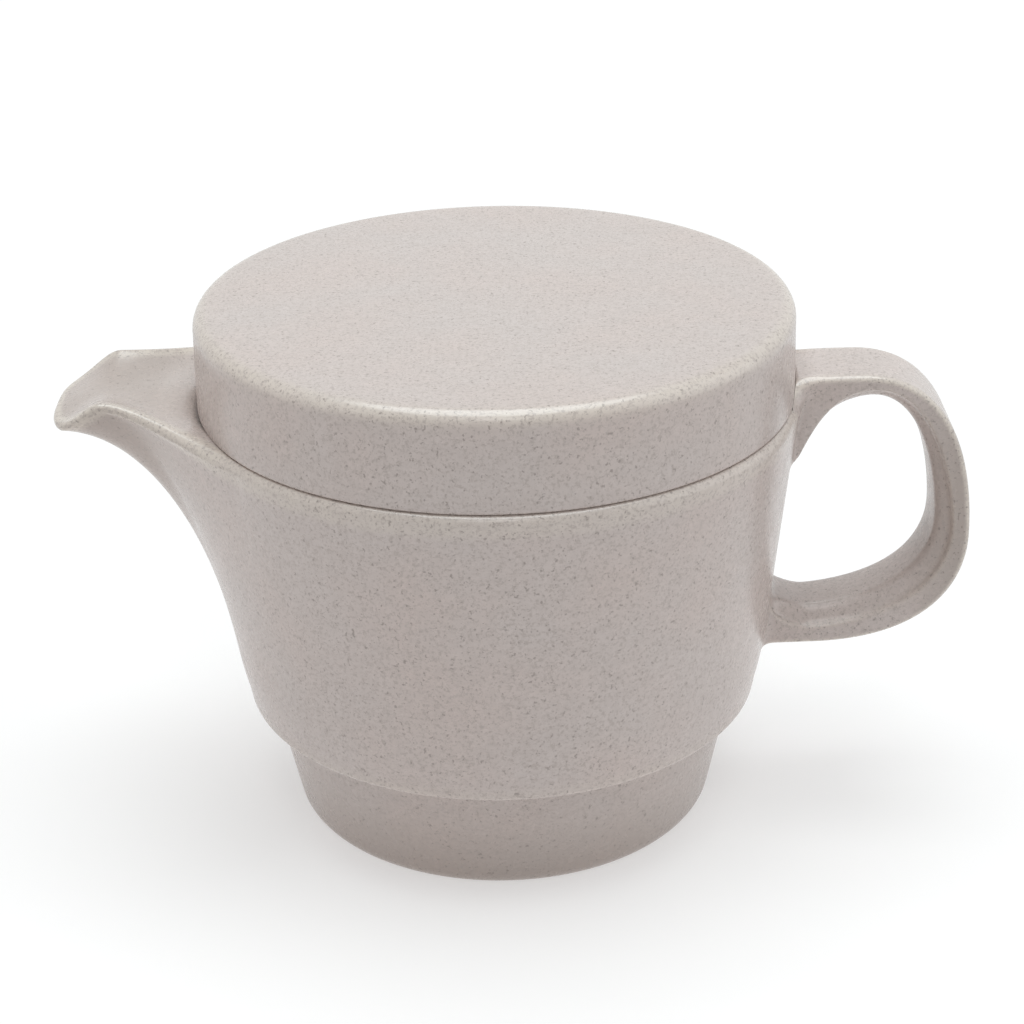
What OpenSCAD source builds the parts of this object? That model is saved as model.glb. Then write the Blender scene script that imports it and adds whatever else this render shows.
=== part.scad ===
// Ceramic teapot: a pot with a stepped foot, an open beak spout and a strap handle, and a cap lid.
// Millimetres, +Z up. The origin is on the pot's axis at the table. The spout points to -X.

/* [Body] */
// outside radius of the foot at the table
foot_radius = 51.0; // [40:0.1:60]
// rounding of the foot's lowest edge
foot_edge_round = 3.6; // [1:0.1:5]
// outside radius of the foot just under the step
foot_top_radius = 55.5; // [45:0.1:60]
// height of the step's underside
step_height = 30.0; // [24:0.1:36]
// outside radius of the body at the step
step_radius = 61.7; // [58:0.1:64]
// rounding of the step's lower edge
step_edge_round = 1.6; // [0.8:0.1:3]
// height at which the straight wall begins
wall_start_height = 44.0; // [40:0.5:50]
// outside radius where the straight wall begins
wall_start_radius = 63.68; // [62:0.01:66]
// outside radius of the wall carried up to the rim
rim_outer_radius = 70.4; // [68:0.1:74]
// height of the flat rim that carries the lid
rim_height = 104.4; // [95:0.1:115]
// rounding of the rim's outer edge
rim_edge_round = 2.2; // [1:0.1:3]
// thickness of the body's wall
wall_thickness = 5.4; // [4:0.1:7]
// thickness of the floor of the pot
floor_thickness = 7.0; // [5:0.1:10]
// rounding inside between floor and wall
inside_round = 6.0; // [3:0.5:10]

/* [Spout] */
// height at which the spout starts to leave the wall
spout_start_height = 34.5; // [31:0.5:42]
// reach of the lip from the pot's axis
lip_reach = 102.15; // [95:0.05:110]
// how far the middle of the lip's rounded end lies below the crest
lip_fall = 5.8; // [3:0.1:9]
// half the width of the spout between its ridges at the crest
spout_half_width = 16.3; // [13:0.1:20]
// squareness of the lip seen from above, 2 is an ellipse
lip_squareness = 3.0; // [2:0.1:4]
// distance from the axis to the highest point of the ridges
crest_reach = 89.0; // [82:0.5:94]
// how far the middle of the ridges at the crest stands above the rim
crest_rise = 3.7; // [1:0.1:8]
// rounding of the edge at the lip
lip_edge_round = 1.25; // [0.9:0.05:2]
// angle from the spout at which the ridges join the round rim
merge_angle = 37; // [30:1:45]
// how far the ridges run straight back from the crest
ridge_straight = 8.5; // [5:0.5:12]
// how far the ridges follow the rim before they turn to the crest
ridge_follow = 8.0; // [5:0.5:12]
// share of the plain quarter-ellipse in the underside's curve
underside_share = 0.88; // [0.5:0.01:1]
// how the spout's flow lines gather towards the keel
keel_gather = 1.415; // [0.9:0.005:1.8]
// how far the trough's floor lies below the crest of the ridges
trough_depth = 1.9; // [1:0.1:4]
// how far the trough's floor lies below the rim where it enters the pot
trough_mouth_depth = 24.4; // [10:0.1:30]
// steepness of the floor's dive into the pot
trough_dive = 4.0; // [2:0.1:5]
// steepness of the trough's sides, 2 is a parabola
trough_power = 2.6; // [2:0.1:4]

/* [Handle] */
// width of the strap
handle_width = 20.0; // [14:0.5:24]
// how far the strap's upper face stands above the rim
handle_rise = 4.96; // [2:0.02:8]
// distance from the axis to the highest point of the outer face
handle_top_reach = 83.4; // [78:0.1:90]
// distance from the axis to the farthest point of the outer face
handle_reach = 110.6; // [100:0.1:120]
// height of the farthest point of the outer face
handle_reach_height = 68.4; // [60:0.1:78]
// height of the outer face where it meets the pot at the bottom
handle_low_height = 40.7; // [36:0.1:46]
// distance from the axis to the start of the level stretch at the bottom
handle_low_reach = 73.7; // [68:0.1:80]
// thickness of the strap's edges under the top
handle_top_thickness = 3.8; // [2.5:0.1:6]
// thickness of the strap's edges at its farthest point
handle_far_thickness = 4.4; // [2.5:0.1:7]
// thickness of the strap's edges at the bottom
handle_low_thickness = 4.7; // [3:0.1:7]
// height of the farthest point of the inner face
grip_reach_height = 70.9; // [62:0.1:78]
// how far the middle of the inner face stands proud of its edges, at most
handle_crown = 4.35; // [1:0.05:6]
// height at which the root of the upper stretch leaves the wall
upper_root_height = 83.55; // [78:0.05:92]
// height up to which the lower joint is filled
lower_root_height = 51.1; // [48:0.1:58]
// rounding of the strap's outer edges
handle_outer_round = 1.5; // [0.8:0.1:1.8]
// rounding of the strap's inner edges
handle_inner_round = 1.2; // [0.6:0.1:1.8]

/* [Lid] */
// how far the lid's side stands back from the outside of the rim
lid_set_back = 1.4; // [0.8:0.1:3]
// how much narrower the lid's side is at the top edge
lid_draft = 0.3; // [0:0.1:2]
// height of the lid above the rim
lid_height = 22.7; // [18:0.1:28]
// rounding of the lid's top edge
lid_edge_round = 2.4; // [1:0.1:4]
// rounding of the lid's lower outer edge
lid_foot_round = 0.7; // [0.3:0.1:1.5]
// thickness of the lid's top
lid_top_thickness = 6.0; // [4:0.1:8]
// thickness of the lid's side
lid_side_thickness = 6.0; // [4:0.1:8]
// how far the locating ring reaches down into the mouth
lid_ring_depth = 4.5; // [3:0.1:6]
// thickness of the locating ring
lid_ring_thickness = 4.0; // [3:0.1:5]
// clearance between the lid and the pot around it
lid_clearance = 0.6; // [0.3:0.1:1.2]

/* [Colour] */
// colour of the glaze
glaze_colour = [0.74, 0.71, 0.68];

/* [Hidden] */
$fn = 96;
// number of flow lines on each side of the spout, and of steps along each line
spout_lines = 18;
spout_steps = 12;
edge_steps = 5;
trough_steps = 7;
// number of rings along each of the handle's four stretches, and of points in a corner
stretch_steps = 8;
corner_steps = 3;
// places across the inner face, as shares of the crown's half width
crown_places = [-1, -0.88, -0.73, -0.5, 0, 0.5, 0.73, 0.88, 1];
taper = (rim_outer_radius - wall_start_radius) / (rim_height - wall_start_height);
rim_round_radius = rim_outer_radius - rim_edge_round - 0.3;
mouth_radius = rim_outer_radius - wall_thickness - 0.6;
lip_centre_reach = lip_reach - lip_edge_round;
rim_round_height = rim_height - rim_edge_round;
crest_height = rim_height + crest_rise;
lip_height = crest_height - lip_fall;
trough_crest_height = crest_height - trough_depth;
trough_mouth_height = rim_height - trough_mouth_depth;
handle_top_height = rim_height + handle_rise;
lid_radius = rim_outer_radius - lid_set_back;
lid_top_radius = lid_radius - lid_draft;

// outside radius of the body above the step
function wall_radius(z) =
    wall_start_radius + (z - wall_start_height) * taper
    - (z < wall_start_height ? 1.1 * pow((wall_start_height - z) / 12, 2) : 0);
// smooth change from 0 to 1
function ease(u) = let (v = min(max(u, 0), 1)) v * v * (3 - 2 * v);
// point on a cubic curve with four control points
function curve(a, b, c, d, k) =
    pow(1 - k, 3) * a + 3 * pow(1 - k, 2) * k * b + 3 * (1 - k) * k * k * c + pow(k, 3) * d;
// points of a quarter of rounding, from one angle to another
function corner(x, z, r, from, to, n) =
    [for (i = [0 : n]) let (a = from + (to - from) * i / n) [x + r * cos(a), z + r * sin(a)]];

// Body: the outside and inside as one revolved profile each
module body_outside()
{
    rotate_extrude()
        polygon(concat(
            [[0, 0]],
            corner(foot_radius - foot_edge_round + 0.5, foot_edge_round, foot_edge_round, -90, -10, 5),
            [[foot_top_radius - 0.9, step_height - 8]],
            [[foot_top_radius, step_height - 1.2]],
            [[foot_top_radius + 0.6, step_height - 0.3]],
            [[foot_top_radius + 1.6, step_height]],
            corner(step_radius - step_edge_round - 0.3, step_height + step_edge_round,
                step_edge_round, -90, -8, 4),
            [for (z = [34 : 2 : wall_start_height]) [wall_radius(z), z]],
            corner(rim_round_radius, rim_round_height, rim_edge_round, -6, 90, 6),
            [[0, rim_height]]
        ));
}

module body_inside()
{
    inside_foot = foot_top_radius - wall_thickness - 1.5;
    rotate_extrude()
        polygon(concat(
            [[0, floor_thickness]],
            corner(inside_foot - 3.5 - inside_round, floor_thickness + inside_round,
                inside_round, -90, -10, 5),
            [[inside_foot, step_height - 4]],
            [[inside_foot + 1.5, step_height + 1]],
            [[wall_radius(38) - wall_thickness, 38]],
            [[wall_radius(wall_start_height) - wall_thickness, wall_start_height]],
            [[mouth_radius, rim_height - 6]],
            [[mouth_radius, rim_height + 20]],
            [[0, rim_height + 20]]
        ));
}

// Spout: the rounded edge is a line that runs from the lip's end (t = 0) over the crest (t = 1)
// to the round rim (t = 2); flow lines run up to it from the wall.
function lip_share(t) = pow(t, 1.5) / (pow(t, 1.5) + pow(1 - t, 1.5));
function lip_point(t) =
    let (
        a = 90 * lip_share(t),
        x = crest_reach + (lip_centre_reach - crest_reach) * pow(abs(cos(a)), 2 / lip_squareness),
        y = spout_half_width * pow(abs(sin(a)), 2 / lip_squareness),
        u = (x - crest_reach) / (lip_centre_reach - crest_reach)
    )
    [-x, y, crest_height - (crest_height - lip_height) * ease(1.08 * u)];
function ridge_point(s) =
    let (
        from = [-crest_reach, spout_half_width],
        to = rim_round_radius * [-cos(merge_angle), sin(merge_angle)],
        flat = curve(from, from + [ridge_straight, 0],
            to - ridge_follow * [sin(merge_angle), cos(merge_angle)], to, s)
    )
    [flat[0], flat[1], rim_round_height + (crest_height - rim_round_height) * ease(1 - s / 0.85)];
function edge_point(t) = t <= 1 ? lip_point(t) : ridge_point(t - 1);
// direction across the edge, outwards and level
function edge_out(t) =
    let (d = edge_point(min(t + 0.01, 2)) - edge_point(max(t - 0.01, 0)))
    t == 0 ? [-1, 0, 0] : [-d[1], d[0], 0] / norm([d[0], d[1]]);
function edge_round(t) = lip_edge_round + (rim_edge_round - lip_edge_round) * ease(t - 1);
// angle above level at which the outside meets the edge
function edge_lean(t) =
    t < 1 ? 20 + 43 * ease(t) : t < 1.5 ? 63 + 9 * ease(2 * (t - 1)) : 72 + 11.6 * ease(2 * (t - 1.5));
function edge_skin(t, lean) =
    edge_point(t) + edge_round(t) * (edge_out(t) * sin(lean) - [0, 0, cos(lean)]);
// depth to which the skin's last lines sink into the wall, so that the two meet in a clean seam
function sink(t) = 0.45 * ease((t - 1.7) / 0.3);
// growth of the spout out of the wall, a quarter-ellipse sharpened towards the lip
function bow(w) =
    let (e = 1 - sqrt(1 - w * w)) underside_share * e + (1 - underside_share) * pow(e, 3);
function flow_angle(t) = merge_angle * pow(t / 2, keel_gather);
function wall_point(a, z, inset) = [-(wall_radius(z) - inset) * cos(a), (wall_radius(z) - inset) * sin(a), z];
function flow_point(t, k) =
    let (
        full = asin(0.995),
        w = sin(k * full),
        end = edge_skin(t, edge_lean(t)),
        z = spout_start_height + (end[2] - spout_start_height) * w / 0.995,
        a = flow_angle(t),
        lag = 0.5 * (1 - ease(3 * k)) + sink(t)
    )
    wall_point(a, z, lag) + (end - wall_point(a, end[2], 0)) * bow(w) / bow(0.995);
function flow_line(t) = concat(
    [for (i = [0 : spout_steps - 1]) flow_point(t, i / spout_steps)],
    [for (i = [0 : edge_steps])
        edge_skin(t, edge_lean(t) + (180 - edge_lean(t)) * i / edge_steps)
            - sink(t) * (edge_out(t) + [0, 0, 1])]
);
function mirrored(p) = [p[0], -p[1], p[2]];

// closed skin between the flow lines of both sides, roofed straight across from ridge to ridge
module spout_outside()
{
    lines = [for (i = [-spout_lines : spout_lines])
        let (t = 2 * abs(i) / spout_lines, side = flow_line(t))
        [for (p = side) i < 0 ? mirrored(p) : p]];
    long = len(lines[0]);
    wide = len(lines);
    points = [for (line = lines) for (p = line) p];
    skin = [for (i = [0 : wide - 2]) for (j = [0 : long - 2])
        let (a = i * long + j, b = a + long)
        each [[a, b, a + 1], [b, b + 1, a + 1]]];
    roof = [for (i = [0 : spout_lines - 1])
        let (
            a = i * long + long - 1,
            b = a + long,
            c = (wide - 1 - i) * long + long - 1,
            d = c - long
        )
        each b == d ? [[a, b, c]] : [[a, b, c], [b, d, c]]];
    base = [for (i = [0 : spout_lines - 1])
        let (a = i * long, b = a + long, c = (wide - 1 - i) * long, d = c - long)
        each b == d ? [[a, c, b]] : [[a, c, b], [b, c, d]]];
    back = [for (j = [0 : long - 2])
        let (a = j, b = (wide - 1) * long + j)
        each [[a, a + 1, b], [b, a + 1, b + 1]]];
    polyhedron(points = points, faces = concat(skin, roof, base, back), convexity = 6);
}

// Trough: the space over the spout's floor, as sections across the spout
function floor_height(x) =
    x > crest_reach ?
        trough_crest_height
            - (trough_crest_height - lip_height - lip_edge_round)
            * ease((x - crest_reach) / (lip_centre_reach - crest_reach))
    : trough_crest_height
        - (trough_crest_height - trough_mouth_height)
        * pow(min((crest_reach - x) / (crest_reach - mouth_radius), 1), trough_dive);
function trough_section(t) =
    let (
        e = edge_point(t),
        half = e[1],
        top = e[2] + edge_round(t) - 0.15,
        low = min(floor_height(-e[0]), top - 0.3)
    )
    concat(
        [[e[0], -half - 6, top + 30]],
        [[e[0], -half - 6, top + 6]],
        [for (i = [-trough_steps : trough_steps])
            let (s = sin(90 * i / trough_steps))
            [e[0], half * s, low + (top - low) * pow(abs(s), trough_power)]],
        [[e[0], half + 6, top + 6]],
        [[e[0], half + 6, top + 30]]
    );
module trough()
{
    first = trough_section(0.12);
    ahead = [for (p = first) [p[0] - 3, p[1], p[2] + 3]];
    sections = concat([ahead], [for (i = [1 : spout_lines]) trough_section(2 * i / spout_lines)]);
    wide = len(first);
    points = [for (section = sections) for (p = section) p];
    skin = [for (i = [0 : len(sections) - 2]) for (j = [0 : wide - 1])
        let (a = i * wide + j, b = i * wide + (j + 1) % wide)
        each [[b, a, a + wide], [b + wide, b, a + wide]]];
    front = [[for (j = [0 : wide - 1]) j]];
    back = [[for (j = [wide - 1 : -1 : 0]) (len(sections) - 1) * wide + j]];
    polyhedron(points = points, faces = concat(skin, front, back), convexity = 4);
}

// Handle: pairs of points on the outer face and on the inner face's edges, joined by sections
function outer_face(stretch, k) =
    let (
        root = [rim_outer_radius - 4.8, handle_top_height - 0.6],
        top = [handle_top_reach, handle_top_height],
        far = [handle_reach, handle_reach_height],
        low = [handle_low_reach, handle_low_height]
    )
    stretch == 0 ? curve(root, root + [6, 0.5], top - [6, 0], top, k)
    : stretch == 1 ? curve(top, top + [23.2, 0.2], far + [0, 15.6], far, k)
    : stretch == 2 ? curve(far, far - [0, 12.9], low + [28.3, 0.2], low, k)
    : low + ([59, handle_low_height - 0.3] - low) * k;
function inner_face(stretch, k) =
    let (
        root = [wall_radius(upper_root_height) - 2, upper_root_height - 1],
        top = [handle_top_reach + 2, handle_top_height - handle_top_thickness],
        far = [handle_reach - handle_far_thickness, grip_reach_height],
        low = [handle_low_reach + 0.6, handle_low_height + handle_low_thickness],
        end = [wall_radius(lower_root_height) - 2, lower_root_height + 1]
    )
    stretch == 0 ? curve(root, root + [5, 6.9], top - [12.1, 1.3], top, k)
    : stretch == 1 ? curve(top, top + [16.1, 1.7], far + [0, 7.6], far, k)
    : stretch == 2 ? curve(far, far - [0, 15.8], low + [17.6, 1.7], low, k)
    : curve(low, low - [4.2, 0.4], end + [1.5, -4], end, k);
// height of the crown along the four stretches: low under the top, full round the bend
function crown_height(u) =
    handle_crown * (0.28 + 0.3 * ease((u - 0.3) / 0.7) + 0.42 * ease(u - 1.3))
        * (1 - 0.4 * ease((u - 3.3) / 0.7));
// rise of the crown across the strap: steep beside the edges, nearly flat in the middle
function crown_share(q, half) =
    let (w = min((1 - abs(q)) * half / 3.2, 1)) 0.82 * (1 - (1 - w) * (1 - w)) + 0.18 * (1 - q * q);
function strap_section(outer, inner, crown) =
    let (
        thick = norm(outer - inner),
        across = (inner - outer) / thick,
        near = handle_outer_round,
        far = handle_inner_round,
        half = handle_width / 2,
        crown_half = half - far - 0.3,
        flat = concat(
            corner(half - near, near, near, 0, -90, corner_steps),
            corner(-half + near, near, near, -90, -180, corner_steps),
            corner(-half + far, thick - far, far, 180, 90, corner_steps - 1),
            [for (q = crown_places) [q * crown_half, thick + 0.02 + crown * crown_share(q, crown_half)]],
            corner(half - far, thick - far, far, 90, 0, corner_steps - 1)
        )
    )
    [for (p = flat) [outer[0] + across[0] * p[1], p[0], outer[1] + across[1] * p[1]]];
module handle()
{
    sections = concat(
        [for (s = [0 : 3]) for (i = [0 : stretch_steps - 1])
            let (k = i / stretch_steps)
            strap_section(outer_face(s, k), inner_face(s, k), crown_height(s + k))],
        [strap_section(outer_face(3, 1), inner_face(3, 1), crown_height(4))]
    );
    wide = len(sections[0]);
    points = [for (section = sections) for (p = section) p];
    skin = [for (i = [0 : len(sections) - 2]) for (j = [0 : wide - 1])
        let (a = i * wide + j, b = i * wide + (j + 1) % wide)
        each [[b, a, a + wide], [b + wide, b, a + wide]]];
    front = [[for (j = [0 : wide - 1]) j]];
    back = [[for (j = [wide - 1 : -1 : 0]) (len(sections) - 1) * wide + j]];
    polyhedron(points = points, faces = concat(skin, front, back), convexity = 6);
}

// Pot: one cast piece, hollow, with the spout's trough open into it
module pot()
{
    color(glaze_colour)
        difference() {
            union() {
                body_outside();
                spout_outside();
                handle();
            }
            body_inside();
            trough();
            translate([0, 0, rim_height])
                cylinder(r = lid_radius + lid_clearance, h = 30);
        }
}

// Lid: a hollow cap that rests on the flat rim, with a short ring inside the mouth
module lid()
{
    inside_radius = lid_radius - lid_side_thickness;
    ring_radius = mouth_radius - lid_clearance;
    ring_inside = ring_radius - lid_ring_thickness;
    color(glaze_colour)
        translate([0, 0, rim_height])
            rotate_extrude()
                polygon(concat(
                    [[0, lid_height - lid_top_thickness]],
                    [[inside_radius - 3, lid_height - lid_top_thickness]],
                    [[inside_radius, lid_height - lid_top_thickness - 3]],
                    [[inside_radius, lid_side_thickness]],
                    [[ring_inside, 1.5]],
                    [[ring_inside, 1 - lid_ring_depth]],
                    [[ring_inside + 1, -lid_ring_depth]],
                    [[ring_radius - 1, -lid_ring_depth]],
                    [[ring_radius, 1 - lid_ring_depth]],
                    [[ring_radius, 0]],
                    corner(lid_radius - lid_foot_round, lid_foot_round, lid_foot_round, -90, 0, 3),
                    corner(lid_top_radius - lid_edge_round, lid_height - lid_edge_round,
                        lid_edge_round, 0, 90, 6),
                    [[0, lid_height]]
                ));
}

pot();
lid();
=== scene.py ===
import bmesh
import bpy
import math
import numpy as np
from mathutils import Matrix, Vector


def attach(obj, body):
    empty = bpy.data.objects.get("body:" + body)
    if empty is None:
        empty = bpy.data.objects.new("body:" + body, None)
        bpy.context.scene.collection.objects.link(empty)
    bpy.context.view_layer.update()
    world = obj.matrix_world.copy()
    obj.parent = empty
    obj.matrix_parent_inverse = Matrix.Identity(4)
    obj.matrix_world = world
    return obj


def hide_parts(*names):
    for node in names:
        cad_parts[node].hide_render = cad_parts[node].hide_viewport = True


# Ceramic teapot: the glazed pot and its lid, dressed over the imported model.
# The shapes are worked out in millimetres and turned into metres when a mesh is made.
MM = 0.001

# ---- body, as in the part's source but for the foot: slimmer here, with a rounder edge ----------
FOOT_RADIUS = 50.4
FOOT_EDGE = 4.9
FOOT_TOP_RADIUS = 55.5
STEP_HEIGHT = 30.0
STEP_RADIUS = 61.7
STEP_EDGE = 1.6
WALL_START = 44.0
WALL_START_RADIUS = 63.68
RIM_RADIUS = 70.4
RIM_HEIGHT = 104.4
RIM_EDGE = 2.2
RIM_CENTRE = 67.9
RIM_LEVEL = RIM_HEIGHT - RIM_EDGE
MOUTH_RADIUS = 64.4
WALL = 5.4
FLOOR = 7.0
TAPER = (RIM_RADIUS - WALL_START_RADIUS) / (RIM_HEIGHT - WALL_START)
WALL_LEAN = 90 - math.degrees(math.atan(TAPER))
# below WALL_START the wall draws in towards the step, by this much over this height
TUCK = 1.1
TUCK_HEIGHT = 12

# ---- spout, as in the source but for its floor, which stays high up to the lid -------------------
# Places along the pot's edge are stations t: 0 the lip's tip, 0 to 1 the lip, 1 to 2 the ridge
# that leads back to the rim, 2 to 3 the rim on round to the handle.
SPOUT_START = 34.5
LIP_REACH = 100.9
LIP_LEVEL = 102.3
LIP_HALF = 16.3
LIP_POWER = 3.0
LIP_EDGE = 1.25
LIP_GATHER = 1.5
LIP_FALL = 1.08
CREST_REACH = 89.0
CREST_LEVEL = 108.1
MERGE = math.radians(37)
RIDGE_STRAIGHT = 8.5
RIDGE_FOLLOW = 8.0
RIDGE_FALL_END = 0.85
LIP_LEAN = 20
CREST_LEAN = 63
RIDGE_LEAN = 72
BOW_SHARE = 0.88
KEEL_GATHER = 1.415
FULL_BOW = 0.995
TROUGH_CREST = 106.2
TROUGH_MOUTH = 80.0
TROUGH_DIVE = 12.0
TROUGH_HOLD = 0.9
# station at which the trough's floor has come to the mouth in the pot's wall
MOUTH_START = 1.65
MOUTH_SPREAD = 0.8
MOUTH_RISE = 1.8

# ---- lid, as in the source but for a rounder top edge -------------------------------------------
LID_RADIUS = 69.0
LID_TOP_RADIUS = 68.7
LID_HEIGHT = 22.7
LID_EDGE = 3.6
LID_FOOT = 0.7
LID_GAP = 0.6
LID_WALL = 6
LID_TOP = 6.0
LID_INNER_BEVEL = 3
LID_RING_DEPTH = 4.5
LID_RING_WIDTH = 4
LID_RING_BEVEL = 1


def smooth(u):
    v = min(max(u, 0.0), 1.0)
    return v * v * (3 - 2 * v)


def curve(a, b, c, d, k):
    a, b, c, d = (np.asarray(p, float) for p in (a, b, c, d))
    return (1 - k) ** 3 * a + 3 * (1 - k) ** 2 * k * b + 3 * (1 - k) * k * k * c + k ** 3 * d


def steps(n, first=0.0, last=1.0):
    return [first + (last - first) * i / n for i in range(n + 1)]


def corner(x, z, r, start, end, n):
    return [(x + r * math.cos(a), z + r * math.sin(a))
            for a in steps(n, math.radians(start), math.radians(end))]


def mirror(p, side):
    return np.array([p[0], side * p[1], p[2]])


def unit(v):
    return v / np.linalg.norm(v)


def wall_radius(z):
    low = TUCK * ((WALL_START - z) / TUCK_HEIGHT) ** 2 if z < WALL_START else 0.0
    return WALL_START_RADIUS + (z - WALL_START) * TAPER - low


# ---- the edge of lip, ridge and rim -------------------------------------------------------------
def lip_point(t):
    share = t ** LIP_GATHER / (t ** LIP_GATHER + (1 - t) ** LIP_GATHER)
    a = share * math.pi / 2
    x = CREST_REACH + (LIP_REACH - CREST_REACH) * abs(math.cos(a)) ** (2 / LIP_POWER)
    y = LIP_HALF * abs(math.sin(a)) ** (2 / LIP_POWER)
    u = (x - CREST_REACH) / (LIP_REACH - CREST_REACH)
    return np.array([-x, y, CREST_LEVEL - (CREST_LEVEL - LIP_LEVEL) * smooth(LIP_FALL * u)])


def ridge_point(s):
    start = np.array([-CREST_REACH, LIP_HALF])
    end = RIM_CENTRE * np.array([-math.cos(MERGE), math.sin(MERGE)])
    back = RIDGE_FOLLOW * np.array([math.sin(MERGE), math.cos(MERGE)])
    flat = curve(start, start + [RIDGE_STRAIGHT, 0], end - back, end, s)
    rise = (CREST_LEVEL - RIM_LEVEL) * smooth(1 - s / RIDGE_FALL_END)
    return np.array([flat[0], flat[1], RIM_LEVEL + rise])


def rim_point(s):
    a = MERGE + (math.pi - MERGE) * s
    return np.array([-RIM_CENTRE * math.cos(a), RIM_CENTRE * math.sin(a), RIM_LEVEL])


def edge_point(t):
    if t <= 1:
        return lip_point(t)
    return ridge_point(t - 1) if t <= 2 else rim_point(t - 2)


def edge_out(t):
    """Level direction that points away from the pot, square to the edge."""
    if t == 0:
        return np.array([-1.0, 0, 0])
    if t >= 2:
        a = MERGE + (math.pi - MERGE) * (t - 2)
        return np.array([-math.cos(a), math.sin(a), 0])
    d = edge_point(min(t + 0.01, 2)) - edge_point(max(t - 0.01, 0))
    return np.array([-d[1], d[0], 0]) / math.hypot(d[0], d[1])


def edge_size(t):
    return LIP_EDGE + (RIM_EDGE - LIP_EDGE) * smooth(t - 1)


def edge_lean(t):
    """Turn, as edge_at has it, at which the outer face runs into the rounded edge."""
    if t < 1:
        return LIP_LEAN + (CREST_LEAN - LIP_LEAN) * smooth(t)
    if t < 1.5:
        return CREST_LEAN + (RIDGE_LEAN - CREST_LEAN) * smooth(2 * (t - 1))
    return RIDGE_LEAN + (WALL_LEAN - RIDGE_LEAN) * smooth(2 * (t - 1.5))


def edge_fall(t):
    """How far past the top the rounded edge goes on before it runs into the trough or the rim."""
    stations = [0.0, 0.5, 1.0, 1.5, 2.0, 3.0]
    falls = [-14.0, -4.0, 22.0, 22.0, 0.0, 0.0]
    return float(np.interp(t, stations, falls))


def edge_at(t, turn):
    """Point on the rounded edge, turned from 0, straight down, over the outside to 180, the top."""
    a = math.radians(turn)
    way = edge_out(t) * math.sin(a) - np.array([0, 0, math.cos(a)])
    return edge_point(t) + edge_size(t) * way


def bow(w):
    """How far the spout's flank has bowed out of the round wall, from its start up to the edge."""
    e = 1 - math.sqrt(max(0.0, 1 - w * w))
    return BOW_SHARE * e + (1 - BOW_SHARE) * e ** 3


def flow_angle(t):
    """Angle around the pot at which a line of the skin starts, from the spout's middle."""
    if t <= 2:
        return MERGE * (t / 2) ** KEEL_GATHER
    return MERGE + (math.pi - MERGE) * (t - 2)


def wall_point(a, z):
    r = wall_radius(z)
    return np.array([-r * math.cos(a), r * math.sin(a), z])


def flow_point(t, k):
    """Point of the outside above the step: on the wall, or bowed out towards the spout's edge."""
    w = math.sin(k * math.asin(FULL_BOW))
    end = edge_at(t, edge_lean(t))
    z = SPOUT_START + (end[2] - SPOUT_START) * w / FULL_BOW
    a = flow_angle(t)
    if t >= 2:
        return wall_point(a, z)
    return wall_point(a, z) + (end - wall_point(a, end[2])) * bow(w) / bow(FULL_BOW)


# ---- the pot's skin as lines from the middle of the base to the rounded edge --------------------
def foot_profile():
    line = [(r, 0.0) for r in steps(6, 0.0, FOOT_RADIUS - FOOT_EDGE)]
    line += corner(FOOT_RADIUS - FOOT_EDGE + 0.5, FOOT_EDGE, FOOT_EDGE, -88, -10, 8)
    top = (FOOT_TOP_RADIUS - 0.9, STEP_HEIGHT - 8)
    start = line[-1]
    line += [(start[0] + (top[0] - start[0]) * k, start[1] + (top[1] - start[1]) * k)
             for k in steps(8, 0.1)]
    low = (FOOT_TOP_RADIUS - 0.3, STEP_HEIGHT - 3.0)
    line += [tuple(curve(low, (low[0] + 0.25, low[1] + 2.0), (FOOT_TOP_RADIUS + 0.3, STEP_HEIGHT),
                         (FOOT_TOP_RADIUS + 2.4, STEP_HEIGHT), k)) for k in steps(8)]
    line += corner(STEP_RADIUS - STEP_EDGE - 0.3, STEP_HEIGHT + STEP_EDGE, STEP_EDGE, -90, -8, 8)
    return line


def outer_line(t, rows):
    """One line of the outside, from the middle of the base to the end of the rounded edge."""
    a = flow_angle(t)
    line = [np.array([-r * math.cos(a), r * math.sin(a), z]) for r, z in foot_profile()]
    line += [flow_point(t, k) for k in steps(rows)]
    lean = edge_lean(t)
    last = 180 + edge_fall(t)
    line += [edge_at(t, lean + (last - lean) * k) for k in steps(12)[1:]]
    return line


# ---- handle -------------------------------------------------------------------------------------
HANDLE_HALF = 10.0
OUTER_EDGE = 1.5
INNER_EDGE = 1.2
ROOT_GAP = 69.03
CROWN = 4.35
RING_COUNT = 60
STRAP_STEPS = 170
FILLET_STEPS = 14
# the last points of a strap's line lie this far inside the wall, so that no gap shows
SUNK = np.array([0.995, 0.995, 1])


def handle_outer(stretch, k):
    """Outer face in side view, (distance from the pot's axis, height), in four stretches."""
    root = np.array([RIM_RADIUS - 4.8, 108.76])
    top = np.array([83.4, 109.36])
    far = np.array([110.6, 68.4])
    low = np.array([73.7, 40.7])
    if stretch == 0:
        return curve(root, root + [6, 0.5], top - [6, 0], top, k)
    if stretch == 1:
        return curve(top, top + [23.2, 0.2], far + [0, 15.6], far, k)
    if stretch == 2:
        return curve(far, far - [0, 12.9], low + [28.3, 0.2], low, k)
    return low + (np.array([59, 40.4]) - low) * k


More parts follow.
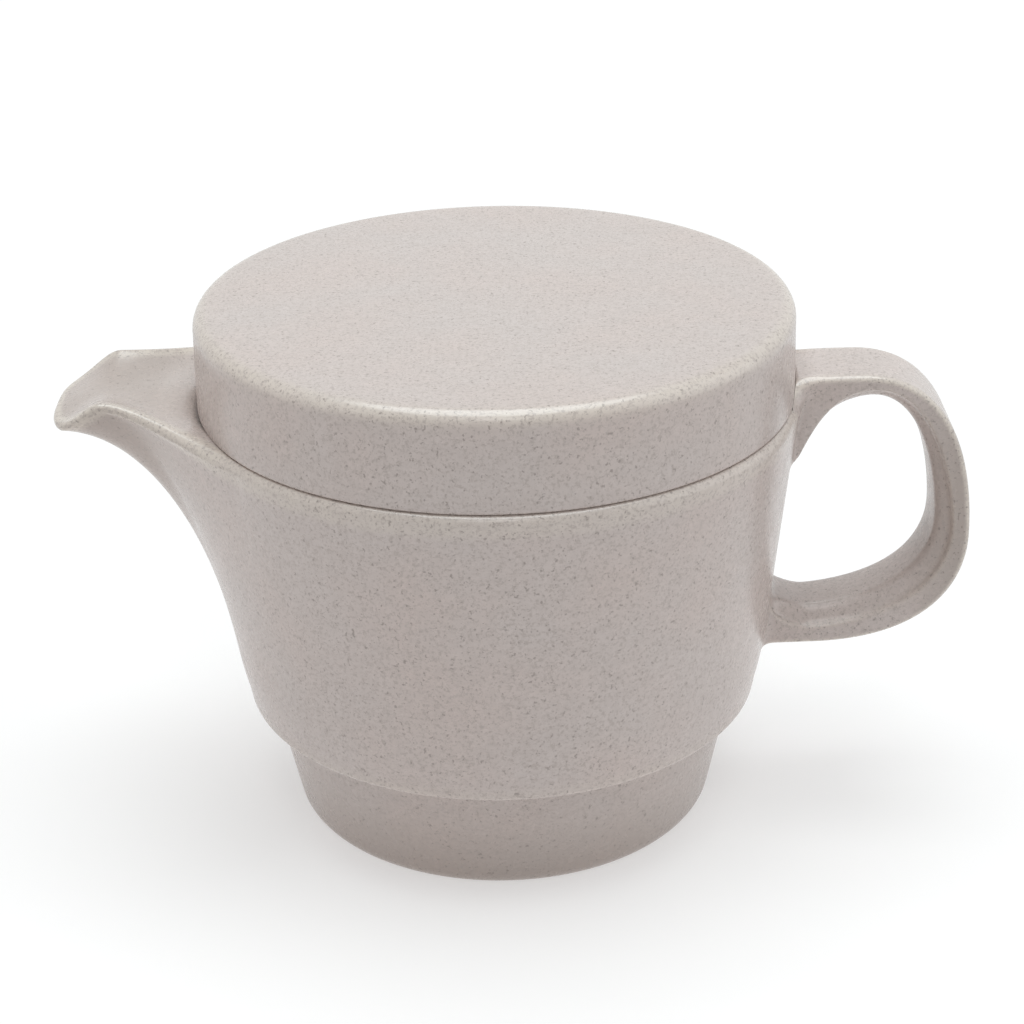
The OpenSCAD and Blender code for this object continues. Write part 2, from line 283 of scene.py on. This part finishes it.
def handle_inner(stretch, k):
    """Edge of the inner face in side view, in four stretches."""
    root = np.array([wall_radius(83.55) - 2, 82.55])
    top = np.array([85.4, 105.58])
    far = np.array([106.24, 70.9])
    low = np.array([74.3, 45.4])
    end = np.array([wall_radius(51.1) - 2, 52.1])
    if stretch == 0:
        return curve(root, root + [5.0, 6.9], top - [12.15, 1.3], top, k)
    if stretch == 1:
        return curve(top, top + [16.1, 1.8], far + [0, 7.6], far, k)
    if stretch == 2:
        return curve(far, far - [0, 15.8], low + [17.6, 1.7], low, k)
    return curve(low, low - [4.2, 0.4], end + [1.5, -4], end, k)


def crown_height(u):
    """How far the middle of the inner face stands proud of its edges, along the four stretches."""
    rise = 0.28 + 0.3 * smooth((u - 0.3) / 0.7) + 0.42 * smooth(u - 1.3)
    return CROWN * rise * (1 - 0.4 * smooth((u - 3.3) / 0.7))


def crown_share(q, half):
    """Rise of the crown across the strap: steep beside the edges, nearly flat in the middle."""
    w = min((1 - abs(q)) * half / 3.2, 1)
    w = 1 - (1 - w) ** 2
    return 0.82 * w * w * (2.2 - 1.2 * w) + 0.18 * (1 - q * q)


def strap_places():
    """Half of the strap's section as stations: 0 middle of the outer face, 1 to 2 its rounding,
    2 to 3 the side, 3 to 4 the inner rounding, 4 to 5 the crown up to its middle."""
    half = steps(6, 0, 1)[:-1] + steps(8, 1, 2)[:-1] + [2 + q ** 1.4 for q in steps(14)][:-1]
    return half + steps(6, 3, 4)[:-1] + [4 + (q ** 1.25) for q in steps(15)]


def strap_place(w, thick, crown):
    """Place in the section as (distance from the middle, depth) at a station."""
    half, near, far = HANDLE_HALF, OUTER_EDGE, INNER_EDGE
    inner = half - far - 0.3
    if w <= 1:
        return (half - near) * w, 0.0
    if w <= 2:
        a = math.radians(90 * (w - 1))
        return half - near + near * math.sin(a), near - near * math.cos(a)
    if w <= 3:
        return half, near + (thick - far - near) * (w - 2)
    if w <= 4:
        a = math.radians(90 * (w - 3))
        return half - far + far * math.cos(a), thick - far + far * math.sin(a)
    q = 5 - w
    return inner * q + 0.3 * q ** 8, thick + crown * crown_share(q, inner)


def strap_lines(count):
    """Rings of the strap square to its outer face: for each the outer point, the inward direction,
    the thickness at the edges and the height of the crown."""
    outer = [(s + k, handle_outer(s, k)) for s in range(4) for k in steps(count)[:-1]]
    outer.append((4, handle_outer(3, 1)))
    inner = [handle_inner(s, k) for s in range(4) for k in steps(60)[:-1]]
    inner = np.array(inner + [handle_inner(3, 1)])
    rings = []
    for i, (u, p) in enumerate(outer):
        d = outer[min(i + 2, len(outer) - 1)][1] - outer[max(i - 2, 0)][1]
        across = np.array([d[1], -d[0]]) / math.hypot(*d)
        side = (inner - p) @ np.array([-across[1], across[0]])
        depth = (inner - p) @ across
        hits = [depth[j] - side[j] * (depth[j + 1] - depth[j]) / (side[j + 1] - side[j])
                for j in range(len(inner) - 1)
                if side[j] * side[j + 1] <= 0 and side[j] != side[j + 1]]
        hits = [h for h in hits if 1 < h < 32]
        if hits:
            rings.append((p, across, min(hits), crown_height(u)))
    return rings


def through(stations, values, x):
    """Smooth line through values, with no overshoot worth seeing."""
    if x <= stations[0]:
        return values[0]
    if x >= stations[-1]:
        return values[-1]
    i = max(j for j in range(len(stations) - 1) if stations[j] <= x)
    rates = [(values[j + 1] - values[j]) / (stations[j + 1] - stations[j])
             for j in range(len(values) - 1)]
    bends = [0.0 if p * q <= 0 else 2 * p * q / (p + q) for p, q in zip(rates, rates[1:])]
    bends = [rates[0]] + bends + [rates[-1]]
    span = stations[i + 1] - stations[i]
    k = (x - stations[i]) / span
    return ((2 * k ** 3 - 3 * k * k + 1) * values[i] + (k ** 3 - 2 * k * k + k) * span * bends[i]
            + (3 * k * k - 2 * k ** 3) * values[i + 1] + (k ** 3 - k * k) * span * bends[i + 1])


def above_wall(line):
    """How far each point of a line stands off the pot's wall."""
    return np.hypot(line[:, 0], line[:, 1]) - np.array([wall_radius(z) for z in line[:, 2]])


def crossing(values, level):
    """Station at which the values first rise past the level."""
    for i in range(len(values) - 1):
        if values[i] < level <= values[i + 1]:
            return i + (level - values[i]) / (values[i + 1] - values[i])
    return 0.0


def at_station(line, u):
    """Point of a line between its points, by a count that need not be whole."""
    i = int(min(max(u, 0), len(line) - 1.001))
    return line[i] + (line[i + 1] - line[i]) * (u - i)


def rim_profile(z):
    if z <= RIM_LEVEL:
        return wall_radius(z)
    return RIM_CENTRE + math.sqrt(max(0.0, RIM_EDGE ** 2 - (z - RIM_LEVEL) ** 2))


def around_pot(r, arc, z):
    return np.array([r * math.cos(arc / r), r * math.sin(arc / r), z])


def upper_landing(w):
    """Where the strap's line at a station ends on the pot: the outer face beside the lid, its edge
    turned down into the rim's edge, the side and the inner face on the wall."""
    stations = [0, 0.6, 1, 1.4, 1.75, 2, 2.12, 2.3, 2.6, 3, 4, 5]
    arcs = [0, 5.1, 8.8, 12.3, 15.0, 16.8, 16.0, 14.2, 12.9, 12.3, 10.4, 0]
    heights = [108.85, 108.85, 108.6, 107.3, 105.5, 103.9, 101.7, 98.8, 94.2, 89.2, 86.2, 85.0]
    arc = through(stations, arcs, w)
    z = through(stations, heights, w)
    if z > RIM_HEIGHT:
        r = ROOT_GAP
    else:
        r = max(ROOT_GAP, rim_profile(z)) if z > RIM_LEVEL else wall_radius(z)
    return around_pot(r, arc, z), arc / r


def lower_landing(w):
    """The same at the strap's lower end, all of it on the wall."""
    stations = [0, 1, 2, 3, 4, 5]
    arc = through(stations, [0, 8.8, 12.4, 12.6, 10.6, 0], w)
    z = through(stations, [38.2, 38.3, 41.0, 51.8, 55.4, 56.6], w)
    return around_pot(wall_radius(z), arc, z), arc / wall_radius(z)


def landing_way(w, turn, up):
    """Direction in which a line runs out on the wall: up or down it from the faces, around it
    from the sides."""
    share = through([0, 0.7, 1.3, 2, 3, 3.6, 4.3, 5], [0, 0, 0.6, 1, 1, 0.75, 0.1, 0], w)
    around = np.array([-math.sin(turn), math.cos(turn), 0.0])
    sense = up if w < 2.5 else -up
    along = np.array([TAPER * math.cos(turn), TAPER * math.sin(turn), 1.0]) * sense
    return unit(around * share + along * (1 - share))


def fillet(start, toward, spot, away, n):
    """Points from the strap to the wall, leaving along one way and landing along the other."""
    span = np.linalg.norm(spot - start)
    a = start + toward * span * 0.5
    b = spot - away * span * 0.5
    return [curve(start, a, b, spot, k) for k in steps(n)]


def upper_way(w, turn):
    """Direction in which a line at a station lands at the upper joint."""
    inward = np.array([-1.0, 0.0, 0.0])
    if w < 0.7:
        return inward
    if w >= 2:
        return landing_way(w, turn, 1)
    share = smooth((w - 0.7) / 0.8)
    return unit(inward * (1 - share) + np.array([-math.sin(turn), math.cos(turn), -0.45]) * share)


def strap_row(rings, w):
    """One line of the strap's skin on the +Y side, from the rim to the lower joint."""
    line = []
    for p, across, thick, crown in rings:
        y, v = strap_place(w, thick, crown)
        line.append((p[0] + across[0] * v, y, p[1] + across[1] * v))
    line = np.array(line)
    off = above_wall(line)
    first = crossing(off, through([0, 1, 2, 2.4, 3, 5], [5.5, 6, 5.5, 3.2, 2.0, 2.0], w))
    last = len(line) - 1
    final = last - crossing(off[::-1], through([0, 2, 3, 5], [3.0, 3.6, 4.0, 4.0], w))
    spot, turn = upper_landing(w)
    away = upper_way(w, turn)
    toward = unit(at_station(line, first - 0.5) - at_station(line, first + 0.5))
    row = fillet(at_station(line, first), toward, spot, away, FILLET_STEPS)[::-1]
    if w < 2:
        under = np.array([spot[0], spot[1], min(spot[2], RIM_HEIGHT)])
    else:
        under = (spot + away * 0.6) * SUNK
    row.insert(0, under)
    row += [at_station(line, u) for u in steps(STRAP_STEPS, first, final)[1:-1]]
    spot, turn = lower_landing(w)
    away = landing_way(w, turn, -1)
    toward = unit(at_station(line, final + 0.5) - at_station(line, final - 0.5))
    row += fillet(at_station(line, final), toward, spot, away, FILLET_STEPS)
    row.append((spot + away * 0.6) * SUNK)
    return row


def strap_grid():
    rings = strap_lines(RING_COUNT)
    places = strap_places()
    rows = [strap_row(rings, w) for w in places]
    back = [[mirror(p, -1) for p in row] for row in rows[-2:0:-1]]
    return rows + back, places + places[-2:0:-1]


# ---- meshes -------------------------------------------------------------------------------------
class Builder:
    """Collects points and faces, in millimetres, of one closed skin."""

    def __init__(self):
        self.points = []
        self.faces = []
        self.thin_and_highlight = []

    def grid(self, rows, closed=False, flip=False, thin_and_highlight=None):
        """Adds rows of points as a net, with the share of cream by row and place: glaze run thin
        and painted highlight.
        """
        base = len(self.points)
        count, long = len(rows), len(rows[0])
        for i, row in enumerate(rows):
            self.points.extend(row)
            self.thin_and_highlight.extend(thin_and_highlight(i, j, row[j]) if thin_and_highlight else 0.0 for j in range(long))
        for i in range(count if closed else count - 1):
            a = base + i * long
            b = base + ((i + 1) % count) * long
            for j in range(long - 1):
                face = (a + j, b + j, b + j + 1, a + j + 1)
                self.faces.append(face[::-1] if flip else face)

    def make(self, name, merge=0.02):
        mesh = bpy.data.meshes.new(name)
        mesh.from_pydata([tuple(float(c) * MM for c in p) for p in self.points], [], self.faces)
        # share of cream per point: glaze run thin and painted highlight
        mesh.attributes.new("thin_and_highlight", "FLOAT", "POINT").data.foreach_set(
            "value", np.array(self.thin_and_highlight, dtype=np.float32))
        bm = bmesh.new()
        bm.from_mesh(mesh)
        bmesh.ops.remove_doubles(bm, verts=bm.verts, dist=merge * MM)
        bmesh.ops.recalc_face_normals(bm, faces=bm.faces)
        bm.to_mesh(mesh)
        bm.free()
        mesh.shade_smooth()
        obj = bpy.data.objects.new(name, mesh)
        bpy.context.scene.collection.objects.link(obj)
        return obj


def around(ts):
    """The stations of one side, and then of the other side in reverse, with the mirror sign."""
    there = [(t, 1) for t in ts]
    back = [(t, -1) for t in reversed(ts) if 0 < t < 3]
    return there + back


def trough_floor(x):
    """Height and slope of the trough's floor in the middle, at a distance from the pot's axis."""
    if x > CREST_REACH:
        u = (x - CREST_REACH) / (LIP_REACH - CREST_REACH)
        drop = TROUGH_CREST - (LIP_LEVEL + LIP_EDGE)
        slope = -drop * (3.5 * u - 2.25 * u * u) / (LIP_REACH - CREST_REACH)
        return TROUGH_CREST - drop * u * u * (1.75 - 0.75 * u), slope
    u = min((CREST_REACH - x) / (CREST_REACH - MOUTH_RADIUS), 1.0)
    dive = TROUGH_CREST - TROUGH_MOUTH
    slope = dive * TROUGH_DIVE * u ** (TROUGH_DIVE - 1) / (CREST_REACH - MOUTH_RADIUS)
    return TROUGH_CREST - dive * u ** TROUGH_DIVE, slope


# where the line of each station meets the middle of the trough, as a distance from the pot's axis
SPINE_T = [0.0, 0.3, 0.6, 1.0, 1.3, 1.55, MOUTH_START]
SPINE_X = [101.1, 98.6, 94.6, 88.0, 79.0, 69.0, MOUTH_RADIUS]


def mouth_edge(t):
    """Angle and height on the inside of the wall: the spout's mouth, open under the lid."""
    share = (t - MOUTH_START) / (2 - MOUTH_START)
    rise = (RIM_HEIGHT - TROUGH_MOUTH) * share ** MOUTH_RISE
    return MERGE * share ** MOUTH_SPREAD, TROUGH_MOUTH + rise


def trough_row(t, n):
    """From the rounded edge down to the middle of the floor, or to the mouth in the pot's wall.
    Near the mouth the line keeps its height for longer and dives later (hold)."""
    edge = edge_at(t, 180 + edge_fall(t))
    out = edge_out(t)
    fall = math.tan(math.radians(edge_fall(t)))
    if t < MOUTH_START:
        x = float(np.interp(t, SPINE_T, SPINE_X))
        z, slope = trough_floor(x)
        goal = np.array([-x, 0.0, z])
        end_slope = slope * (edge[0] - goal[0])
    else:
        a, z = mouth_edge(t)
        goal = np.array([-MOUTH_RADIUS * math.cos(a), MOUTH_RADIUS * math.sin(a), z])
        end_slope = 1.2 * (z - edge[2])
    start_slope = -fall * max(0.0, -float((goal - edge)[:2] @ out[:2]))
    hold = 1.0 + TROUGH_HOLD * smooth((t - 1.4) / 0.25)
    row = []
    for k in steps(n):
        p = edge + (goal - edge) * k
        k = k ** hold
        h0 = 2 * k ** 3 - 3 * k * k + 1
        h1 = k ** 3 - 2 * k * k + k
        h2 = -2 * k ** 3 + 3 * k * k
        h3 = k ** 3 - k * k
        z = h0 * edge[2] + h1 * start_slope + h2 * goal[2] + h3 * end_slope
        row.append(np.array([p[0], p[1], z]))
    return row


def inner_profile(top):
    """Inside of the pot from a height on the wall down to the middle of the floor."""
    foot = FOOT_TOP_RADIUS - WALL - 1.5
    line = [(MOUTH_RADIUS, top - max(top - 98, 0.6) * k) for k in steps(6)]
    start = line[-1][1]
    line += [(MOUTH_RADIUS - (MOUTH_RADIUS - wall_radius(WALL_START) + WALL) * k,
              start - (start - WALL_START) * k) for k in steps(10)[1:]]
    line += [(wall_radius(38) - WALL, 38.0), (foot + 1.5, STEP_HEIGHT + 1),
             (foot, STEP_HEIGHT - 4)]
    line += corner(foot - 9.5, FLOOR + 6, 6, -10, -90, 6)
    line += [(r, FLOOR) for r in steps(4, foot - 12, 0.0)]
    return line


def rim_row(t):
    """Flat top of the rim, from the rounded edge in to the mouth."""
    edge = edge_at(t, 180)
    a = flow_angle(t)
    inner = np.array([-MOUTH_RADIUS * math.cos(a), MOUTH_RADIUS * math.sin(a), RIM_HEIGHT])
    return [edge + (inner - edge) * k for k in steps(4)]


def inside_rows(stations):
    """The pot's inside, from the mouth or the rim down to the floor."""
    rows = []
    for t, side in stations:
        a, top = mouth_edge(t) if t < 2 else (flow_angle(t), RIM_HEIGHT)
        rows.append([mirror(np.array([-r * math.cos(a), r * math.sin(a), z]), side)
                     for r, z in inner_profile(top)])
    return rows


def pot_thin_and_highlight(t, p):
    """Cream on the rounded edge, glaze run thin and painted highlight, and painted highlight on
    the step.
    """
    spot = edge_point(t)
    level = math.hypot(abs(p[0]) - abs(spot[0]), abs(p[1]) - abs(spot[1]))
    away = math.hypot(level, p[2] - spot[2])
    edge = smooth(1 - (away - edge_size(t)) / 2.2)
    step = 0.35 * smooth(1 - abs(p[2] - STEP_HEIGHT - 1.2) / 1.6)
    return max(edge * (0.55 + 0.35 * smooth(1.5 - abs(t - 1.0))), step)


def make_pot():
    """Body, foot and spout as one skin, with the trough, the rim's top and the inside."""
    b = Builder()
    ts = steps(100, 0, 2) + steps(84, 2, 3)[1:]
    ring = around(ts)
    # cream on the edges and the step: glaze run thin and painted highlight
    b.grid([[mirror(p, side) for p in outer_line(t, 48)] for t, side in ring], closed=True,
           thin_and_highlight=lambda i, j, p: pot_thin_and_highlight(ring[i][0], p))
    near = [t for t in ts if t <= 2.0001]
    for side in (1, -1):
        b.grid([[mirror(p, side) for p in trough_row(t, 28)] for t in near],
               thin_and_highlight=lambda i, j, p: pot_thin_and_highlight(near[i], p))
    rest = [(t, side) for t, side in ring if t >= 1.9999]
    # cream on the rim's top: glaze run thin and painted highlight
    b.grid([[mirror(p, side) for p in rim_row(t)] for t, side in rest], thin_and_highlight=lambda i, j, p: 0.6)
    b.grid(inside_rows([(t, side) for t, side in ring if t >= MOUTH_START]), closed=True)
    return b.make("pot_glazed")


def lid_profile():
    """The lid's section: top, side, underside, ring and hollow, from the axis back to the axis."""
    z = RIM_HEIGHT
    line = [(r, z + LID_HEIGHT) for r in steps(20, 0.0, LID_TOP_RADIUS - LID_EDGE)]
    line += corner(LID_TOP_RADIUS - LID_EDGE, z + LID_HEIGHT - LID_EDGE, LID_EDGE, 90, 0, 10)[1:]
    top = line[-1]
    foot = (LID_RADIUS, z + LID_FOOT)
    line += [(top[0] + (foot[0] - top[0]) * k, top[1] + (foot[1] - top[1]) * k)
             for k in steps(10)[1:-1]]
    line += corner(LID_RADIUS - LID_FOOT, z + LID_FOOT, LID_FOOT, 0, -90, 5)
    ring = MOUTH_RADIUS - LID_GAP
    inner = ring - LID_RING_WIDTH
    low = z - LID_RING_DEPTH
    line += [(66.5, z), (ring, z), (ring, low + LID_RING_BEVEL), (ring - LID_RING_BEVEL, low),
             (inner + LID_RING_BEVEL, low), (inner, low + LID_RING_BEVEL), (inner, z + 1.5)]
    wall = LID_RADIUS - LID_WALL
    roof = z + LID_HEIGHT - LID_TOP
    line += [(wall, z + 6), (wall, roof - LID_INNER_BEVEL), (wall - LID_INNER_BEVEL, roof)]
    return line + [(r, roof) for r in steps(4, wall - 8, 0.0)]


def make_lid():
    """The lid turned about its axis; cream on its top edge: thin glaze and painted highlight."""
    b = Builder()
    profile = lid_profile()
    lines = [[np.array([r * math.cos(a), r * math.sin(a), h]) for r, h in profile]
             for a in steps(240, 0, 2 * math.pi)[:-1]]
    edge_r, edge_z = LID_TOP_RADIUS - 0.8, RIM_HEIGHT + LID_HEIGHT - 0.8

    # cream on the top edge: glaze run thin and painted highlight
    def thin_and_highlight(i, j, p):
        away = math.hypot(profile[j][0] - edge_r, profile[j][1] - edge_z)
        return 0.8 * smooth(1 - (away - 0.5) / 3.2)

    b.grid(lines, closed=True, flip=True, thin_and_highlight=thin_and_highlight)
    return b.make("lid_glazed")


def make_handle():
    """Strap handle, cast with the pot; cream along its edges: thin glaze and painted highlight."""
    b = Builder()
    rows, places = strap_grid()
    # cream on the edges' roundings: glaze run thin and painted highlight
    stations = [0, 0.75, 1.2, 1.6, 2.05, 2.9, 3.4, 3.9, 4.2, 5]
    shares = [0, 0, 0.7, 1.0, 0, 0, 0.35, 0.2, 0, 0]
    b.grid(rows, closed=True, thin_and_highlight=lambda i, j, p: through(stations, shares, places[i]))
    return b.make("handle_glazed")


# ---- materials ----------------------------------------------------------------------------------
GLAZE_WARM = (0.596, 0.505, 0.472)
GLAZE_COOL = (0.583, 0.512, 0.486)
GLAZE_GREY = (0.490, 0.425, 0.398)
# cream on the edges: glaze run thin, and painted highlight along the edges and the step
CREAM_AND_HIGHLIGHT = (0.670, 0.600, 0.530)
# painted shade: the dark colour laid along the spout, on the handle's far side and at the foot
PAINTED_SHADE_COLOUR = (0.360, 0.300, 0.262)
SPECK_SOFT = (0.430, 0.370, 0.340)
SPECK_DARK = (0.220, 0.180, 0.160)
CLOUD_SCALE, MOTTLE_SCALE, PATCHY_SCALE, POLISH_SCALE, RIPPLE_SCALE = 38, 420, 150, 300, 500
FINE_SPECK_SCALE, SHARP_SPECK_SCALE = 1250, 1150
MOTTLE, FINE_SPECKS, SHARP_SPECKS = 0.35, 0.78, 0.62
# painted shade: the colour is darker along the spout, on the handle's far side and at the foot;
# where in metres the shade begins and is full, and how strong it is
SPOUT_SHADE = (-0.065, -0.079, 0.50)
HANDLE_SHADE = (0.096, 0.107, 0.62)
FOOT_SHADE = (0.029, 0.001, 0.70)


def value_noise(tree, place, scale, detail, rough=0.5):
    noise = tree.nodes.new("ShaderNodeTexNoise")
    noise.inputs["Scale"].default_value = scale
    noise.inputs["Detail"].default_value = detail
    noise.inputs["Roughness"].default_value = rough
    tree.links.new(place, noise.inputs["Vector"])
    return noise.outputs["Fac"]


def ranged(tree, value, low, high, to_low=0.0, to_high=1.0):
    node = tree.nodes.new("ShaderNodeMapRange")
    node.inputs["From Min"].default_value = low
    node.inputs["From Max"].default_value = high
    node.inputs["To Min"].default_value = to_low
    node.inputs["To Max"].default_value = to_high
    tree.links.new(value, node.inputs["Value"])
    return node.outputs["Result"]


def blended(tree, share, first, second):
    """Mix of two colours, each a socket or a colour, by a share that is a socket."""
    node = tree.nodes.new("ShaderNodeMix")
    node.data_type = "RGBA"
    tree.links.new(share, node.inputs[0])
    for socket, colour in ((node.inputs[6], first), (node.inputs[7], second)):
        if isinstance(colour, tuple):
            socket.default_value = (*colour, 1)
        else:
            tree.links.new(colour, socket)
    return node.outputs[2]


def times(tree, value, factor):
    node = tree.nodes.new("ShaderNodeMath")
    node.operation = "MULTIPLY"
    tree.links.new(value, node.inputs[0])
    if isinstance(factor, float):
        node.inputs[1].default_value = factor
    else:
        tree.links.new(factor, node.inputs[1])
    return node.outputs[0]


def shaded(tree, value, shade, colour):
    """Painted shade: the colour, darkened where a coordinate runs into the shade."""
    start, full, most = shade
    return blended(tree, ranged(tree, value, start, full, 0.0, most), colour, PAINTED_SHADE_COLOUR)


def glaze(name):
    """Stoneware glaze: warm grey with fine specks; cream on the edges, glaze run thin and painted
    highlight; painted shade towards the foot, along the spout and on the handle's far side."""
    mat = bpy.data.materials.new(name)
    mat.use_nodes = True
    tree = mat.node_tree
    shader = tree.nodes["Principled BSDF"]
    place = tree.nodes.new("ShaderNodeTexCoord").outputs["Object"]
    thin_and_highlight = tree.nodes.new("ShaderNodeAttribute")
    thin_and_highlight.attribute_name = "thin_and_highlight"
    cloud = ranged(tree, value_noise(tree, place, CLOUD_SCALE, 3), 0.35, 0.65)
    colour = blended(tree, cloud, GLAZE_WARM, GLAZE_COOL)
    mottle = ranged(tree, value_noise(tree, place, MOTTLE_SCALE, 3, 0.6), 0.36, 0.66)
    colour = blended(tree, times(tree, mottle, MOTTLE), colour, GLAZE_GREY)
    spot = tree.nodes.new("ShaderNodeSeparateXYZ")
    tree.links.new(place, spot.inputs[0])
    # painted shade along the spout and on the handle's far side
    for shade in (SPOUT_SHADE, HANDLE_SHADE):
        colour = shaded(tree, spot.outputs[0], shade, colour)
    # cream on the edges: glaze run thin, and painted highlight
    patchy = ranged(tree, value_noise(tree, place, PATCHY_SCALE, 3, 0.6), 0.3, 0.7, 0.55, 1.0)
    colour = blended(tree, times(tree, thin_and_highlight.outputs["Fac"], patchy), colour, CREAM_AND_HIGHLIGHT)
    # painted shade at the foot
    colour = shaded(tree, spot.outputs[2], FOOT_SHADE, colour)
    fine = ranged(tree, value_noise(tree, place, FINE_SPECK_SCALE, 2, 0.7), 0.50, 0.65)
    colour = blended(tree, times(tree, fine, FINE_SPECKS), colour, SPECK_SOFT)
    sharp = ranged(tree, value_noise(tree, place, SHARP_SPECK_SCALE, 1, 0.6), 0.65, 0.72)
    colour = blended(tree, times(tree, sharp, SHARP_SPECKS), colour, SPECK_DARK)
    tree.links.new(colour, shader.inputs["Base Color"])
    polish = ranged(tree, value_noise(tree, place, POLISH_SCALE, 3), 0.3, 0.7, 0.22, 0.32)
    tree.links.new(polish, shader.inputs["Roughness"])
    shader.inputs["Specular IOR Level"].default_value = 0.65
    bump = tree.nodes.new("ShaderNodeBump")
    bump.inputs["Strength"].default_value = 0.07
    bump.inputs["Distance"].default_value = 0.0004
    tree.links.new(value_noise(tree, place, RIPPLE_SCALE, 4, 0.55), bump.inputs["Height"])
    tree.links.new(bump.outputs["Normal"], shader.inputs["Normal"])
    return mat


# ---- floor, light and camera --------------------------------------------------------------------
FLOOR_HALF = 4.0
FLOOR_COLOUR = (0.49, 0.48, 0.48, 1)
FLOOR_GLOW = 0.5
AMBIENT = 0.08
LENS = 84.375
TILT = 25.42
ROLL = -1.15
AIM = (3.13, 0, 72.48)
DISTANCE = 571.3


def make_floor():
    """Plain pale floor, lit in part by itself, which keeps the shadow as faint as the photo's."""
    mesh = bpy.data.meshes.new("floor")
    s = FLOOR_HALF
    mesh.from_pydata([(-s, -s, 0), (s, -s, 0), (s, s, 0), (-s, s, 0)], [], [(0, 1, 2, 3)])
    obj = bpy.data.objects.new("floor", mesh)
    bpy.context.scene.collection.objects.link(obj)
    mat = bpy.data.materials.new("floor_white")
    mat.use_nodes = True
    shader = mat.node_tree.nodes["Principled BSDF"]
    shader.inputs["Base Color"].default_value = FLOOR_COLOUR
    shader.inputs["Roughness"].default_value = 0.9
    shader.inputs["Specular IOR Level"].default_value = 0.0
    shader.inputs["Emission Color"].default_value = (1, 1, 1, 1)
    shader.inputs["Emission Strength"].default_value = FLOOR_GLOW
    mesh.materials.append(mat)


def soft_light(name, place, spread, strength, colour):
    """A large softbox far away: even light from one direction, spread over an angle."""
    data = bpy.data.lights.new(name, "SUN")
    data.angle = math.radians(spread)
    data.energy = strength
    data.color = colour
    obj = bpy.data.objects.new(name, data)
    bpy.context.scene.collection.objects.link(obj)
    obj.location = place
    obj.rotation_euler = Vector(place).to_track_quat("Z", "Y").to_euler()


def make_world(ambient):
    """White where the camera or a reflection sees it, and a weak even light otherwise."""
    world = bpy.data.worlds.new("studio")
    bpy.context.scene.world = world
    world.use_nodes = True
    tree = world.node_tree
    nodes, links = tree.nodes, tree.links
    out = nodes["World Output"]
    soft = nodes["Background"]
    soft.inputs["Color"].default_value = (1, 1, 1, 1)
    soft.inputs["Strength"].default_value = ambient
    seen = nodes.new("ShaderNodeBackground")
    seen.inputs["Color"].default_value = (1, 1, 1, 1)
    seen.inputs["Strength"].default_value = 1.0
    path = nodes.new("ShaderNodeLightPath")
    mix = nodes.new("ShaderNodeMixShader")
    either = nodes.new("ShaderNodeMath")
    either.operation = "MAXIMUM"
    links.new(path.outputs["Is Camera Ray"], either.inputs[0])
    links.new(path.outputs["Is Glossy Ray"], either.inputs[1])
    links.new(either.outputs[0], mix.inputs[0])
    links.new(soft.outputs[0], mix.inputs[1])
    links.new(seen.outputs[0], mix.inputs[2])
    links.new(mix.outputs[0], out.inputs["Surface"])


def make_camera():
    """The photo's viewpoint, fitted to its outlines."""
    data = bpy.data.cameras.new("view")
    data.sensor_width = 36.0
    data.lens = LENS
    data.clip_start = 0.01
    data.clip_end = 20.0
    obj = bpy.data.objects.new("view", data)
    bpy.context.scene.collection.objects.link(obj)
    tilt = math.radians(TILT)
    roll = math.radians(ROLL)
    look = Vector((0, math.cos(tilt), -math.sin(tilt)))
    right = Vector((1, 0, 0))
    up = Vector((0, math.sin(tilt), math.cos(tilt)))
    across = math.cos(roll) * right + math.sin(roll) * up
    above = -math.sin(roll) * right + math.cos(roll) * up
    place = Vector(AIM) * MM - look * DISTANCE * MM
    turn = Matrix((across, above, -look)).transposed().to_4x4()
    obj.matrix_world = Matrix.Translation(place) @ turn
    bpy.context.scene.camera = obj


# ---- scene --------------------------------------------------------------------------------------
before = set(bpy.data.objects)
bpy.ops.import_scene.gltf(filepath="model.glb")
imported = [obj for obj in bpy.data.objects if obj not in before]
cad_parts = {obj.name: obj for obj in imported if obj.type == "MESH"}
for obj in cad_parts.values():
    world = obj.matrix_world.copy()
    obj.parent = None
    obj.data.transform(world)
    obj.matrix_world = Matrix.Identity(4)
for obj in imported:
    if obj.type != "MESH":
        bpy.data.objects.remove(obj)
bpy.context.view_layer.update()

for piece, node, slot in ((make_pot(), "pot", "glaze_pot"), (make_handle(), "pot", "glaze_pot"),
                          (make_lid(), "lid", "glaze_lid")):
    piece.data.materials.append(glaze(piece.name))
    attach(piece, "root")
    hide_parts(node)

make_floor()
make_world(AMBIENT)
soft_light("top_box", (0, 0.1, 1.0), 50, 2.56, (0.93, 0.995, 1.0))
soft_light("front_box", (0, -0.8, 1.0), 16, 0.24, (1.0, 0.985, 0.97))
soft_light("left_box", (-1.0, -0.15, 0.55), 60, 0.40, (1.0, 0.965, 0.93))
soft_light("right_box", (1.0, -0.1, 0.5), 60, 0.74, (0.965, 0.995, 1.0))
make_camera()

bpy.context.scene.view_settings.view_transform = "Standard"
